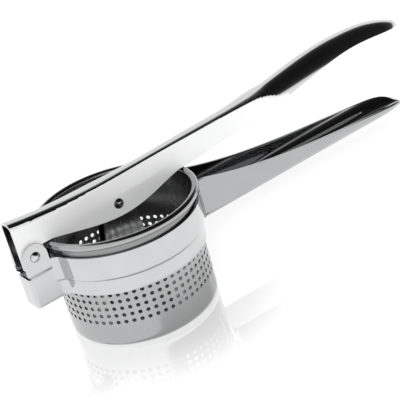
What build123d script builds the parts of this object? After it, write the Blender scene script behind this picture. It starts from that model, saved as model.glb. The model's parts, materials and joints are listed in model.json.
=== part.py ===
from build123d import *

import math
import os

os.makedirs("parts", exist_ok=True)

# Potato ricer of pressed stainless sheet, closed, in millimetres.
# The origin is the middle of the cup's base. +X points at the grips and +Z is up.

# Driving dimensions of the cup
cup_radius = 40.3
cup_height = 63.8
cup_sheet = 0.7
cup_base_corner = 4.0
shoulder_width = 1.4
shoulder_rise = 1.4
shoulder_below_rim = 22.8
bead_diameter = 3.6
bead_lap = 0.3
hole_diameter = 1.9
hole_rows = 5
hole_columns = 60
row_pitch = 4.05
lowest_row = 15.4
base_hole_pitch = 5.0
base_hole_margin = 2.0
base_ring_gain = 6

# Driving dimensions of the collar, its two cheeks and their ears
collar_sheet = 1.2
collar_height = 22.4
collar_below_rim = 8.2
cup_clearance = 0.5
seat_gap = 0.1
tail_fold_radius = 5.0
tail_corner_radius = 1.5
ear_joggle = 0.6
ear_radius = 6.9
crease_below_hinge = 9.5
crease_lap = 1.5

# Driving dimensions of the two pivots
hinge_setback = 8.1
hinge_below_rim = 3.3
pivot_above_rim = 0.2
rivet_diameter = 4.0
rivet_head_diameter = 5.6
rivet_head_height = 1.6
rivet_fit = 0.02
running_fit = 0.05
head_gap = 0.1
bush_gap = 0.05
bush_diameter = 6.8
washer_diameter = 9.0
washer_thickness = 0.4
side_gap = 0.5

# Driving dimensions of the press handle
press_sheet = 1.2
press_half_width = 5.4
press_corner = 3.0
press_overhang = 7.2
press_lobe_radius = 6.6
press_heel_bevel = 1.6
press_rise_at_hinge = 20.4
press_rise_at_pivot = 14.1
belly_depth = 7.0
belly_slope = 0.2
flare_start = 20.0
rim_clearance = 0.6
over_rim_slope = 0.08
neck_reach = 67.0
neck_edge_rise = 10.4
grip_reach = 115.0
grip_half_width = 11.5
grip_rise = 26.0
rise_delay = 1.5
grip_edge_rise = 19.3
press_reach = 158.2
press_tip_rise = 18.4
press_tip_droop = 2.8
press_tip_slope = -0.15
press_tip_edge_rise = 15.9

# Driving dimensions of the lower handle
lower_sheet = 1.2
lower_half_width = 12.0
lower_root_above_collar = 1.4
lower_root_corner = 2.6
lower_root_slope = -0.3
lower_wall_above_collar = 1.2
lower_grip_corner = 9.5
lower_grip_drop = 1.2
lower_grip_reach = 115.0
lower_grip_wall = 8.2
lower_nose_reach = 138.0
lower_nose_wall = 6.2
lower_reach = 152.5
lower_tip_wall = 1.4
lower_tip_slope = -0.8
wing_fold_radius = 4.0
wing_reach = 8.0
weld_film = 0.05

# Driving dimensions of the plunger
disc_clearance = 4.1
disc_sheet = 1.2
disc_lip = 2.6
disc_gap = 3.3
disc_offset = 3.0
bracket_sheet = 1.2
bracket_top_radius = 8.5
bracket_base_length = 36.0

# Both grips: flat left across the round, fullness of the tip's plan, width of its blunt end,
# and the number of sections along the grip and along the tip
grip_flat = 0.7
tip_fullness = 5.0
tip_half_width = 2.4
grip_steps = 20
tip_steps = 7

# Length of the cutting blocks, past everything that they trim, and of a cut past a face
far = 300.0
overrun = 1.0

# Derived sizes
cup_top_radius = cup_radius + shoulder_width
shoulder_height = cup_height - shoulder_below_rim
rim_radius = cup_top_radius + bead_diameter - bead_lap
wall_top = cup_height - bead_diameter / 2
collar_low_radius = cup_radius + cup_clearance + collar_sheet
collar_high_radius = collar_low_radius + shoulder_width
collar_top = cup_height - collar_below_rim
collar_bottom = collar_top - collar_height
ledge_start = shoulder_height + cup_clearance * shoulder_rise / shoulder_width - seat_gap
ledge_end = ledge_start + shoulder_rise
hinge_x = -rim_radius - hinge_setback
hinge_height = cup_height - hinge_below_rim
pivot_height = cup_height + pivot_above_rim
crease_height = hinge_height - crease_below_hinge
tail_end = hinge_x - ear_radius
ear_inner = press_half_width + side_gap
ear_outer = ear_inner + collar_sheet
tail_half_width = ear_outer - ear_joggle
rivet_radius = rivet_diameter / 2
bore = rivet_radius + running_fit
drill_length = 2 * (ear_outer + overrun)
press_end = hinge_x - press_overhang
press_inner = press_half_width - press_sheet
rim_pass = cup_height + rim_clearance
bracket_outer = press_inner - side_gap
bracket_inner = bracket_outer - bracket_sheet
disc_radius = cup_radius - cup_sheet - disc_clearance
disc_bottom = cup_sheet + disc_gap
bracket_floor = disc_bottom + disc_sheet
wing_radius = collar_high_radius + weld_film
lower_root = collar_bottom + lower_root_above_collar
lower_grip_bottom = collar_bottom - lower_grip_drop


# Smooth step from 0 to 1
def ease(share):
    share = min(max(share, 0), 1)
    return share * share * (3 - 2 * share)


# Places of the cross sections along a handle, even up to the grip and closer towards the tip
def tip_spaced(start, grip, tip):
    even = [start + (grip - start) * step / grip_steps for step in range(grip_steps + 1)]
    turn = math.pi / 2 / tip_steps
    return even + [grip + (tip - grip) * math.sin(turn * step) for step in range(1, tip_steps + 1)]


# Half section of the cup, moved inwards by the inset for the hollow
def cup_section(inset, top):
    with BuildSketch(Plane.XZ) as section:
        with BuildLine():
            Polyline(
                (0, inset),
                (cup_radius - inset, inset),
                (cup_radius - inset, shoulder_height),
                (cup_top_radius - inset, shoulder_height + shoulder_rise),
                (cup_top_radius - inset, top),
                (0, top),
                close=True,
            )
        make_face()
        corner = section.vertices().sort_by_distance((cup_radius - inset, inset))[0]
        fillet(corner, cup_base_corner - inset)
    return section.sketch


# Keyhole plan of a strap that runs round the cup and folds into two parallel plates
def keyhole(height, ring, plate_end, half_width, fold, corner=0):
    with BuildSketch(Plane.XY.offset(height)) as plan:
        Circle(ring)
        with Locations((plate_end / 2, 0)):
            Rectangle(abs(plate_end), 2 * half_width)
        folds = [v for v in plan.vertices() if ring / 2 < abs(v.X) < ring and abs(v.Y) > half_width / 2]
        fillet(folds, fold)
        if corner:
            fillet(plan.vertices().group_by(Axis.X)[0], corner)
    return plan.sketch


# Plan of the collar, moved inwards by the inset for the hollow
def collar_plan(height, ring, inset):
    return keyhole(
        height,
        ring - inset,
        tail_end + inset,
        tail_half_width - inset,
        tail_fold_radius + inset,
        tail_corner_radius - inset,
    )


# Cross section of the press handle, an arch over two deep flanges
def arch(x, half_width, top, corner, inset):
    with BuildSketch(Plane.YZ.offset(x)) as section:
        with Locations((0, top - inset - far / 2)):
            Rectangle(2 * (half_width - inset), far)
        fillet(section.vertices().group_by(Axis.Y)[-1], corner - inset)
    return section.sketch


# Cross section of the lower handle, a trough between two high walls
def trough(x, half_width, bottom, corner, inset):
    with BuildSketch(Plane.YZ.offset(x)) as section:
        with Locations((0, bottom + inset + far / 2)):
            Rectangle(2 * (half_width - inset), far)
        fillet(section.vertices().group_by(Axis.Y)[0], corner - inset)
    return section.sketch


# Half section of a rivet along its shank, domed at both ends
def rivet_section(x, height, grip):
    end = grip + rivet_head_height
    with BuildSketch(Plane.XY.offset(height)) as section:
        with BuildLine():
            head = x + rivet_head_diameter / 2
            shank = x + rivet_radius
            Polyline((head, -grip), (shank, -grip), (shank, grip), (head, grip))
            TangentArc((x, end), (head, grip), tangent=(1, 0))
            Line((x, end), (x, -end))
            TangentArc((x, -end), (head, -grip), tangent=(1, 0))
        make_face()
    return section.sketch


# Ring across the width of the tool, from one side's distance to the other's
def ring_section(x, height, outer, inner, start):
    with BuildSketch(Plane.XZ.offset(start)) as section:
        with Locations((x, height)):
            Circle(outer)
            Circle(inner, mode=Mode.SUBTRACT)
    return section.sketch


# Cup: drawn shell with a rolled rim, pierced round its lower half and through its base
with BuildPart() as basket:
    revolve(cup_section(0, wall_top), axis=Axis.Z)
    revolve(cup_section(cup_sheet, wall_top + far), axis=Axis.Z, mode=Mode.SUBTRACT)
    with BuildSketch(Plane.XZ):
        with Locations((rim_radius - bead_diameter / 2, wall_top)):
            Circle(bead_diameter / 2)
    revolve(axis=Axis.Z)
    drill_depth = cup_sheet + 2 * overrun
    for row in range(hole_rows):
        with Locations((0, 0, lowest_row + row * row_pitch)):
            with PolarLocations(cup_radius - cup_sheet / 2, hole_columns):
                Cylinder(hole_diameter / 2, drill_depth, rotation=(0, 90, 0), mode=Mode.SUBTRACT)
    base_rings = int((cup_radius - cup_base_corner - base_hole_margin) / base_hole_pitch)
    with Locations((0, 0, cup_sheet / 2)):
        for ring in range(1, base_rings + 1):
            with PolarLocations(ring * base_hole_pitch, base_ring_gain * ring):
                Cylinder(hole_diameter / 2, drill_depth, mode=Mode.SUBTRACT)
basket.part.label = "basket"
export_step(basket.part, "parts/basket.step")

# Collar: strap round the cup with a ledge under its shoulder, folded into a closed tail with two ears
with BuildPart() as collar:
    for inset, mode in ((0, Mode.ADD), (collar_sheet, Mode.SUBTRACT)):
        low_zone = collar_plan(collar_bottom, collar_low_radius, inset)
        extrude(low_zone, amount=ledge_start - collar_bottom, mode=mode)
        ledge_foot = collar_plan(ledge_start, collar_low_radius, inset)
        ledge_head = collar_plan(ledge_end, collar_high_radius, inset)
        loft([ledge_foot, ledge_head], mode=mode)
        extrude(ledge_head, amount=collar_top - ledge_end, mode=mode)
    with BuildSketch(Plane.XZ):
        with Locations((hinge_x, crease_height + far / 2)):
            Rectangle(2 * ear_radius, far)
    extrude(amount=tail_half_width + overrun, both=True, mode=Mode.SUBTRACT)
    for start in (ear_inner, -ear_outer):
        with BuildSketch(Plane.XZ.offset(start)):
            with Locations((hinge_x, hinge_height)):
                Circle(ear_radius)
            ear_foot = crease_height - crease_lap
            with Locations((hinge_x, (ear_foot + hinge_height) / 2)):
                Rectangle(2 * ear_radius, hinge_height - ear_foot)
        extrude(amount=collar_sheet)
    with Locations((hinge_x, 0, hinge_height)):
        Cylinder(rivet_radius + rivet_fit, drill_length, rotation=(90, 0, 0), mode=Mode.SUBTRACT)
collar.part.label = "collar"
export_step(collar.part, "parts/collar.step")

# Press handle: channel from behind the hinge to a half-round grip with a closed, drooping tip
press_grip_x = rim_radius + grip_reach
press_tip_x = rim_radius + press_reach
press_hinge_top = hinge_height + press_rise_at_hinge
press_cup_top = pivot_height + press_rise_at_pivot
press_grip_top = pivot_height + grip_rise
press_tip_top = pivot_height + press_tip_rise


def press_section(x, inset):
    back = max((flare_start - x) / (flare_start - press_end), 0)
    front = max((x - flare_start) / (press_grip_x - flare_start), 0)
    share = max((x - press_grip_x) / (press_tip_x - press_grip_x), 0)
    flare = ease(front)
    half_width = press_half_width + (grip_half_width - press_half_width) * flare
    corner = press_corner + (grip_half_width - grip_flat - press_corner) * flare
    top = press_cup_top + (press_hinge_top - press_cup_top) * back**2
    top += (press_grip_top - press_cup_top) * ease(front**rise_delay)
    top -= (press_grip_top - press_tip_top) * share**press_tip_droop
    half_width = max(half_width * math.sqrt(1 - share**tip_fullness), tip_half_width)
    corner = min(corner, half_width - grip_flat)
    return arch(x - inset * share, half_width, top, corner, inset)


def press_skin(inset):
    places = [press_end - inset] + tip_spaced(press_end, press_grip_x, press_tip_x)[1:]
    return loft([press_section(x, inset) for x in places], ruled=True, mode=Mode.PRIVATE)


with BuildPart() as press_handle:
    add(press_skin(0))
    add(press_skin(press_sheet), mode=Mode.SUBTRACT)
    with BuildSketch(Plane.XZ):
        with BuildLine():
            lobe_foot = hinge_height - press_lobe_radius
            lobe_side = hinge_x + press_lobe_radius
            over_rim = rim_radius + rim_clearance
            roof = press_grip_top + far
            tip_edge = pivot_height + press_tip_edge_rise
            Polyline(
                (press_tip_x, tip_edge),
                (press_tip_x, roof),
                (press_end, roof),
                (press_end, lobe_foot + press_heel_bevel),
                (press_end + press_heel_bevel, lobe_foot),
                (hinge_x, lobe_foot),
            )
            RadiusArc((hinge_x, lobe_foot), (lobe_side, hinge_height), -press_lobe_radius)
            Polyline((lobe_side, hinge_height), (lobe_side, rim_pass), (-cup_radius, rim_pass))
            Spline(
                (-cup_radius, rim_pass),
                (rivet_diameter, pivot_height - belly_depth),
                (cup_radius, rim_pass),
                tangents=((1, -belly_slope), (1, belly_slope)),
            )
            Line((cup_radius, rim_pass), (over_rim, rim_pass))
            Spline(
                (over_rim, rim_pass),
                (rim_radius + neck_reach, pivot_height + neck_edge_rise),
                (press_grip_x, pivot_height + grip_edge_rise),
                (press_tip_x, tip_edge),
                tangents=((1, over_rim_slope), (1, press_tip_slope)),
            )
        make_face()
    extrude(amount=grip_half_width + overrun, both=True, mode=Mode.INTERSECT)
    with Locations((hinge_x, 0, hinge_height), (0, 0, pivot_height)):
        Cylinder(bore, drill_length, rotation=(90, 0, 0), mode=Mode.SUBTRACT)
press_handle.part.label = "press_handle"
export_step(press_handle.part, "parts/press_handle.step")

# Lower handle: trough with two wings that fold outwards on to the collar
lower_grip_x = rim_radius + lower_grip_reach
lower_tip_x = rim_radius + lower_reach
lower_root_x = rim_radius + wing_fold_radius
lower_start = math.sqrt(collar_low_radius**2 - lower_half_width**2) - overrun
lower_wall_top = collar_top + lower_wall_above_collar


def lower_section(x, inset):
    round_share = ease((x - lower_root_x) / (lower_grip_x - lower_root_x))
    share = max((x - lower_grip_x) / (lower_tip_x - lower_grip_x), 0)
    bottom = lower_root + (lower_grip_bottom - lower_root) * round_share
    corner = lower_root_corner + (lower_grip_corner - lower_root_corner) * round_share
    half_width = max(lower_half_width * math.sqrt(1 - share**tip_fullness), tip_half_width)
    corner = min(corner, half_width - grip_flat)
    return trough(x - inset * share, half_width, bottom, corner, inset)


def lower_skin(inset):
    places = tip_spaced(lower_start, lower_grip_x, lower_tip_x)
    return loft([lower_section(x, inset) for x in places], ruled=True, mode=Mode.PRIVATE)


with BuildPart() as wings:
    wing_foot = lower_root + lower_root_corner
    for inset, mode in ((0, Mode.ADD), (lower_sheet, Mode.SUBTRACT)):
        wing_plan = keyhole(
            wing_foot,
            wing_radius + lower_sheet - inset,
            lower_root_x + lower_half_width,
            lower_half_width - inset,
            wing_fold_radius + inset,
        )
        extrude(wing_plan, amount=far, mode=mode)
    fold_width = lower_half_width + wing_fold_radius
    wing_fold = math.sqrt(wing_radius**2 - fold_width**2)
    wing_edge = math.sqrt(wing_radius**2 - (fold_width + wing_reach) ** 2)
    with BuildSketch(Plane.XZ):
        with BuildLine():
            Polyline(
                (wing_edge, wing_foot + far),
                (wing_edge, lower_wall_top),
                (wing_fold, wing_foot),
                (-far, wing_foot),
                (-far, wing_foot + far),
                close=True,
            )
        make_face()
    extrude(amount=far, both=True, mode=Mode.SUBTRACT)

with BuildPart() as lower_handle:
    add(lower_skin(0))
    add(lower_skin(lower_sheet), mode=Mode.SUBTRACT)
    with Locations((0, 0, ledge_start)):
        above = (Align.CENTER, Align.CENTER, Align.MIN)
        below = (Align.CENTER, Align.CENTER, Align.MAX)
        Cylinder(wing_radius, far, align=above, mode=Mode.SUBTRACT)
        Cylinder(collar_low_radius + weld_film, far, align=below, mode=Mode.SUBTRACT)
    add(wings.part)
    with BuildSketch(Plane.XZ):
        with BuildLine():
            tip_lip = lower_grip_bottom + lower_tip_wall
            Spline(
                (lower_root_x, lower_wall_top),
                (lower_grip_x, lower_grip_bottom + lower_grip_wall),
                (rim_radius + lower_nose_reach, lower_grip_bottom + lower_nose_wall),
                (lower_tip_x, tip_lip),
                tangents=((1, lower_root_slope), (1, lower_tip_slope)),
            )
            Polyline(
                (lower_tip_x, tip_lip),
                (lower_tip_x, 0),
                (0, 0),
                (0, lower_wall_top),
                (lower_root_x, lower_wall_top),
            )
        make_face()
    extrude(amount=collar_high_radius + overrun, both=True, mode=Mode.INTERSECT)
lower_handle.part.label = "lower_handle"
export_step(lower_handle.part, "parts/lower_handle.step")

# Hinge: rivet headed over the ears, bush between the flanges, a washer inside each ear
with BuildPart() as hinge_rivet:
    hinge_line = Axis((hinge_x, 0, hinge_height), (0, 1, 0))
    revolve(rivet_section(hinge_x, hinge_height, ear_outer), axis=hinge_line)
hinge_rivet.part.label = "hinge_rivet"
export_step(hinge_rivet.part, "parts/hinge_rivet.step")

with BuildPart() as hinge_bush:
    bush_half = press_inner - bush_gap
    extrude(ring_section(hinge_x, hinge_height, bush_diameter / 2, bore, -bush_half), amount=2 * bush_half)
hinge_bush.part.label = "hinge_bush"
export_step(hinge_bush.part, "parts/hinge_bush.step")

with BuildPart() as hinge_washers:
    for start in (ear_inner - washer_thickness, -ear_inner):
        washer = ring_section(hinge_x, hinge_height, washer_diameter / 2, bore, start)
        extrude(washer, amount=washer_thickness)
hinge_washers.part.label = "hinge_washers"
export_step(hinge_washers.part, "parts/hinge_washers.step")

# Plunger pivot: rivet across the press handle, bush between the bracket's plates, a washer beside each
with BuildPart() as plunger_rivet:
    pivot_line = Axis((0, 0, pivot_height), (0, 1, 0))
    revolve(rivet_section(0, pivot_height, press_half_width + head_gap), axis=pivot_line)
plunger_rivet.part.label = "plunger_rivet"
export_step(plunger_rivet.part, "parts/plunger_rivet.step")

with BuildPart() as plunger_bush:
    bush_half = bracket_inner - bush_gap
    extrude(ring_section(0, pivot_height, bush_diameter / 2, bore, -bush_half), amount=2 * bush_half)
plunger_bush.part.label = "plunger_bush"
export_step(plunger_bush.part, "parts/plunger_bush.step")

with BuildPart() as plunger_washers:
    for start in (press_inner - bush_gap - washer_thickness, bush_gap - press_inner):
        washer = ring_section(0, pivot_height, washer_diameter / 2, bore, start)
        extrude(washer, amount=washer_thickness)
plunger_washers.part.label = "plunger_washers"
export_step(plunger_washers.part, "parts/plunger_washers.step")

# Plunger bracket: one strap bent into a U, its two tapered plates hung on the pivot
with BuildPart() as plunger_bracket:
    with BuildSketch(Plane.XZ):
        with Locations((0, pivot_height)):
            Circle(bracket_top_radius)
        with Locations((-disc_offset, bracket_floor + bracket_sheet / 2)):
            Rectangle(bracket_base_length, bracket_sheet)
        make_hull()
    extrude(amount=bracket_outer, both=True)
    with BuildSketch(Plane.XZ):
        with Locations((0, bracket_floor + bracket_sheet + far / 2)):
            Rectangle(far, far)
    extrude(amount=bracket_inner, both=True, mode=Mode.SUBTRACT)
    with Locations((0, 0, pivot_height)):
        Cylinder(bore, drill_length, rotation=(90, 0, 0), mode=Mode.SUBTRACT)
plunger_bracket.part.label = "plunger_bracket"
export_step(plunger_bracket.part, "parts/plunger_bracket.step")

# Plunger disc: flat plate with its edge turned up
with BuildPart() as plunger_disc:
    with BuildSketch(Plane.XY.offset(disc_bottom)):
        with Locations((-disc_offset, 0)):
            Circle(disc_radius)
    extrude(amount=disc_sheet + disc_lip)
    with BuildSketch(Plane.XY.offset(bracket_floor)):
        with Locations((-disc_offset, 0)):
            Circle(disc_radius - disc_sheet)
    extrude(amount=disc_lip, mode=Mode.SUBTRACT)
    fillet(plunger_disc.edges().group_by(Axis.Z)[0], disc_sheet)
plunger_disc.part.label = "plunger_disc"
export_step(plunger_disc.part, "parts/plunger_disc.step")
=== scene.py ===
import json
import math
from contextlib import contextmanager

import bpy
import numpy as np
from bpy.props import FloatProperty, FloatVectorProperty, IntProperty, PointerProperty
from bpy.types import Operator, Panel, PropertyGroup
from mathutils import Matrix, Vector


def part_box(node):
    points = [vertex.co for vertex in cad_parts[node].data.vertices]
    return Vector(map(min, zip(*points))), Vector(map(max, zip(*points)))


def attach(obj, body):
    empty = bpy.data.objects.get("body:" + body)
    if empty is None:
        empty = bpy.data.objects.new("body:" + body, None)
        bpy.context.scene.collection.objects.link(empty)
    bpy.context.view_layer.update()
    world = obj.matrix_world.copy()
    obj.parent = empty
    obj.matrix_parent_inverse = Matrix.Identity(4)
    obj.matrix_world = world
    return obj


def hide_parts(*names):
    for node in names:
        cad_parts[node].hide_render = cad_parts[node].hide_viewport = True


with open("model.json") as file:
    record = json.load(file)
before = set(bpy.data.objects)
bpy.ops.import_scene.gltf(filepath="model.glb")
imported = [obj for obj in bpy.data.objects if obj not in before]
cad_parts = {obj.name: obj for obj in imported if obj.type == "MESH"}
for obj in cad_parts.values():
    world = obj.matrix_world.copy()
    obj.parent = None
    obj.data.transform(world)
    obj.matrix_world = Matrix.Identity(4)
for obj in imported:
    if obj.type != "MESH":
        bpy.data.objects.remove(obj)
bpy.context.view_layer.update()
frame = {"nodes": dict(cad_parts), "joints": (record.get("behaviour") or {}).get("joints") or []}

bl_info = {
    "name": "Potato ricer",
    "version": (1, 0, 0),
    "blender": (4, 5, 0),
    "location": "View3D > Sidebar > Ricer",
    "description": "Models the pressed-steel pieces of a potato ricer and its studio",
    "category": "Object",
}

# The imported model: its pivots and the boxes of the nodes that give sizes
PIVOTS = {joint["name"]: Vector(joint["pos_m"]) for joint in frame["joints"]}
HINGE = PIVOTS["press_hinge"]
PLUNGER_PIN = PIVOTS["plunger_pivot"]
CUP_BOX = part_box("basket")
COLLAR_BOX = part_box("collar")
PRESS_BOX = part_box("press_handle")
LOWER_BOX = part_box("lower_handle")
DISC_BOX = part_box("plunger_disc")

MM = 0.001
WELD = 0.02 * MM
SLIVER = 0.002 * MM
FULL_TURN = 2 * math.pi
QUARTER = math.pi / 2
CUT_ANGLE = math.radians(50)
CREASE_ANGLE = math.radians(35)
ORIGIN = (0.0, 0.0, 0.0)
ACROSS = (0.0, 1.0, 0.0)
UPRIGHT = (0.0, 0.0, 1.0)
WHITE = (1.0, 1.0, 1.0, 1.0)

# Steps along half a drawn section, round a rivet and round the disc and the backdrop
SECTION_STEPS = 24
RIVET_STEPS = 40
DISC_STEPS = 96

# How clearly a face must point inwards or upwards to take the painted shade of the inside
INWARDS = 0.3
UPWARDS = 0.5


def metres(name, description, value):
    """A length that a user can change."""
    return FloatProperty(name=name, description=description, default=value, unit="LENGTH", precision=5)


def length(name, description, millimetres):
    """A length that a user can change, given in millimetres and kept in metres."""
    return metres(name, description, millimetres * MM)


def share(name, description, value):
    """A plain number that a user can change."""
    return FloatProperty(name=name, description=description, default=value, precision=4)


def whole(name, description, value):
    """A whole number that a user can change."""
    return IntProperty(name=name, description=description, default=value)


def colour(name, description, value):
    """A colour that a user can change."""
    return FloatVectorProperty(
        name=name, description=description, default=value, size=4, subtype="COLOR", min=0.0, max=1.0
    )


def spot(name, description, value):
    """Three lengths that a user can change."""
    return FloatVectorProperty(
        name=name, description=description, default=value, size=3, unit="LENGTH", precision=5
    )


def station(name, description, place, half_width, top):
    """A place along a handle with the half width and the height of its back there, given in millimetres."""
    return spot(name, description, (place * MM, half_width * MM, top * MM))


class CupSizes(PropertyGroup):
    """Sizes of the pierced cup."""

    radius: length("Radius", "Outside radius of the cup's lower wall", 40.3)
    height: metres("Height", "Height of the rolled rim", CUP_BOX[1].z)
    sheet: length("Sheet", "Thickness of the cup's sheet", 0.7)
    base_corner: length("Base corner", "Outside radius between base and wall", 4.0)
    shoulder_step: length("Shoulder step", "How far the wall steps out at the shoulder", 1.4)
    shoulder_low: length("Shoulder foot", "Height where the shoulder starts", 40.7)
    shoulder_high: length("Shoulder head", "Height where the shoulder ends", 54.0)
    curl_radius: length("Curl radius", "Outside radius of the rolled rim", 2.0)
    hole_diameter: length("Hole diameter", "Diameter of each hole", 2.2)
    lowest_row: length("Lowest row", "Height of the lowest row of holes", 15.4)
    row_pitch: length("Row pitch", "Height from one row of holes to the next", 4.05)
    rows: whole("Rows", "Rows of holes round the wall", 5)
    columns: whole("Columns", "Holes in each row", 60)
    base_pitch: length("Base pitch", "Distance between the rings of holes in the base", 5.0)
    base_rings: whole("Base rings", "Rings of holes in the base", 6)
    ring_gain: whole("Ring gain", "Holes that each ring has more than the last", 6)


class CollarSizes(PropertyGroup):
    """Sizes of the keyhole strap that carries the cup."""

    sheet: length("Sheet", "Thickness of the strap", 1.2)
    bottom: length("Bottom", "Height of the strap's lower edge", 33.2)
    top: length("Top", "Height of the strap's upper edge", 55.6)
    low_radius: length("Lower radius", "Outside radius below the ledge", 42.0)
    high_radius: length("Upper radius", "Outside radius above the ledge", 43.4)
    ledge_low: length("Ledge foot", "Height where the ledge starts", 41.1)
    ledge_high: length("Ledge head", "Height where the ledge ends", 43.1)
    tail_half_width: length("Tail half width", "Half the width across the two cheeks", 6.5)
    tail_end: metres("Tail end", "Place of the tail's end", COLLAR_BOX[0].x)
    fold_radius: length("Fold radius", "Outside radius where the ring folds into the cheeks", 5.0)
    corner_radius: length("Corner radius", "Outside radius of the tail's two corners", 1.5)
    ring_join: length("Ring join", "Place where the plain ring takes over from the folds", -40.0)
    ear_radius: length("Ear radius", "Radius of the rounded ears", 6.9)
    ear_joggle: length("Ear joggle", "How far the ears step out from the cheeks", 0.6)
    crease_low: length("Crease foot", "Height where the step of the ears starts", 49.8)
    crease_high: length("Crease head", "Height where the step of the ears ends", 51.8)
    edge_round: length("Edge round", "Rounding of the sheet's cut edges", 0.2)


class PressSizes(PropertyGroup):
    """Sizes of the upper handle, a channel that widens into a half-round grip."""

    sheet: length("Sheet", "Thickness of the channel", 1.2)
    half_width: length("Half width", "Half the width across the flanges", 5.4)
    corner: length("Corner", "Radius of the channel's upper corners at the hinge", 3.2)
    back_lean: share("Back lean", "Slope of the crowned back at its corners", 0.26)
    heel_back: station("Heel", "Place, half width and height of the back at its hinge end", -60.3, 5.4, 81.3)
    heel_slope: share("Heel slope", "Slope of the back at its hinge end", -0.13)
    rear_back: station("Rear", "Back just in front of the hinge", -38.0, 5.3, 79.0)
    cup_back: station("Over the cup", "Back over the middle of the cup", -6.0, 4.4, 78.1)
    waist_back: station("Waist", "Back at its narrowest place", 22.0, 3.7, 78.6)
    neck_back: station("Neck", "Back halfway along the flange", 58.0, 4.5, 80.0)
    shoulder_back: station("Shoulder", "Back where it starts to widen", 90.0, 6.1, 81.5)
    open_back: station("Opening", "Back where its corners open", 104.0, 8.8, 83.2)
    round_back: station("Round", "Back where it is half round", 118.0, 10.2, 85.5)
    grip_back: station("Grip", "Back at the highest place of the grip", 160.0, 11.5, 90.0)
    sharp_start: length("Sharper from", "Place where the upper corners start to get sharper", -44.0)
    sharp_end: length("Sharp from", "Place where the upper corners are sharp", -4.0)
    sharp_corner: length("Sharp corner", "Radius of the upper corners along the neck", 0.8)
    round_start: length("Round from", "Place where the sharp corners start to open into the round grip", 93.0)
    round_end: length("Round to", "Place where the grip is round", 115.0)
    spread_depth: length("Spread depth", "Height over which the flanges spread below the narrow back", 9.0)
    spread_start: length("Spread to", "Place up to which the flanges keep their full spread", 14.0)
    spread_end: length("Spread end", "Place from which the flanges are upright", 44.0)
    grip_flat: length("Grip flat", "Half the flat left on the grip's back", 0.7)
    tip_top: length("Tip top", "Height of the back at the tip", 82.4)
    tip_droop: share("Tip droop", "How late the back droops towards the tip", 2.8)
    tip_fullness: share("Tip fullness", "How full the grip's plan is at the tip", 5.0)
    tip_half_width: length("Tip half width", "Half the width of the blunt end", 2.4)
    tip_round: length("Tip round", "Radius over the blunt end", 1.4)
    heel_bevel: length("Heel bevel", "Cut across the lower corner behind the hinge", 1.6)
    lobe_radius: length("Lobe radius", "Radius of the flange round the hinge", 6.6)
    rim_pass: length("Rim pass", "Height of the flange's edge over the cup's rim", 64.4)
    belly_x: length("Belly", "Place of the flange's lowest point in the cup", 4.0)
    belly_edge: length("Belly edge", "Height of the flange's lowest point in the cup", 57.0)
    belly_slope: share("Belly slope", "Slope of the flange's edge where it enters the cup", 0.2)
    rim_inside: length("Inside rim", "Distance where the flange's edge passes inside the rim", 40.3)
    rim_outside: length("Outside rim", "Distance where the flange's edge has passed the rim", 45.6)
    over_rim_slope: share("Over-rim slope", "Slope of the flange's edge past the rim", 0.08)
    neck_x: length("Neck end", "Place where the flange runs out into the grip", 112.0)
    neck_edge: length("Neck end edge", "Height of the flange's edge where it runs out into the grip", 74.4)
    grip_edge: length("Grip edge", "Height of the grip's edge", 83.3)
    tip_edge: length("Tip edge", "Height of the edge at the tip", 79.9)
    tip_slope: share("Tip slope", "Slope of the edge at the tip", -0.15)
    edge_round: length("Edge round", "Rounding of the sheet's cut edges", 0.2)


class LowerSizes(PropertyGroup):
    """Sizes of the lower handle, a trough with two wings on the collar."""

    sheet: length("Sheet", "Thickness of the trough", 1.2)
    half_width: length("Half width", "Half the width of the trough", 12.0)
    root_bottom: length("Root bottom", "Height of the trough's floor at the collar", 34.6)
    root_corner: length("Root corner", "Radius of the lower corners at the collar", 2.6)
    root_x: length("Root", "Place where the trough leaves the wings", 49.0)
    wall_top: length("Wall top", "Height of the walls at the collar", 56.8)
    root_slope: share("Root slope", "Slope of the walls' edge at the collar", -0.3)
    grip_x: length("Grip", "Place of the grip", 160.0)
    grip_bottom: length("Grip bottom", "Height of the trough's floor at the grip", 32.0)
    grip_corner: length("Grip corner", "Radius of the lower corners at the grip", 9.5)
    grip_edge: length("Grip edge", "Height of the walls' edge at the grip", 40.2)
    nose_x: length("Nose", "Place where the scooped nose starts", 183.0)
    nose_edge: length("Nose edge", "Height of the walls' edge at the nose", 38.2)
    tip_edge: length("Tip edge", "Height of the walls' edge at the tip", 33.4)
    tip_slope: share("Tip slope", "Slope of the walls' edge at the tip", -0.8)
    tip_fullness: share("Tip fullness", "How full the trough's plan is at the tip", 5.0)
    tip_half_width: length("Tip half width", "Half the width of the blunt end", 2.4)
    tip_flat: length("Tip flat", "Half the flat left across the round", 0.7)
    saddle_radius: length("Saddle radius", "Radius of the collar that the floor meets", 42.05)
    wing_radius: length("Wing radius", "Outside radius of the wings on the collar", 44.65)
    wing_fold: length("Wing fold", "Radius of the folds between the walls and the wings", 4.0)
    wing_reach: length("Wing reach", "How far the wings reach past their folds", 8.0)
    edge_round: length("Edge round", "Rounding of the sheet's cut edges", 0.2)


class RivetSizes(PropertyGroup):
    """Sizes of the two rivets."""

    shank: length("Shank radius", "Radius of the shank", 2.0)
    head: length("Head radius", "Radius of the heads", 2.8)
    head_height: length("Head height", "Height of the domed heads", 1.6)
    hinge_grip: length("Hinge grip", "Half the length between the hinge rivet's heads", 7.1)
    plunger_grip: length("Plunger grip", "Half the length between the plunger rivet's heads", 5.5)
    # Shares of each head that stay bright inside the painted dark reflection round its rim
    hinge_bright: share("Hinge bright", "Share of the hinge rivet's head inside its dark edge", 0.93)
    plunger_bright: share("Plunger bright", "Share of the plunger rivet's head inside its dark edge", 0.5)


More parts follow.
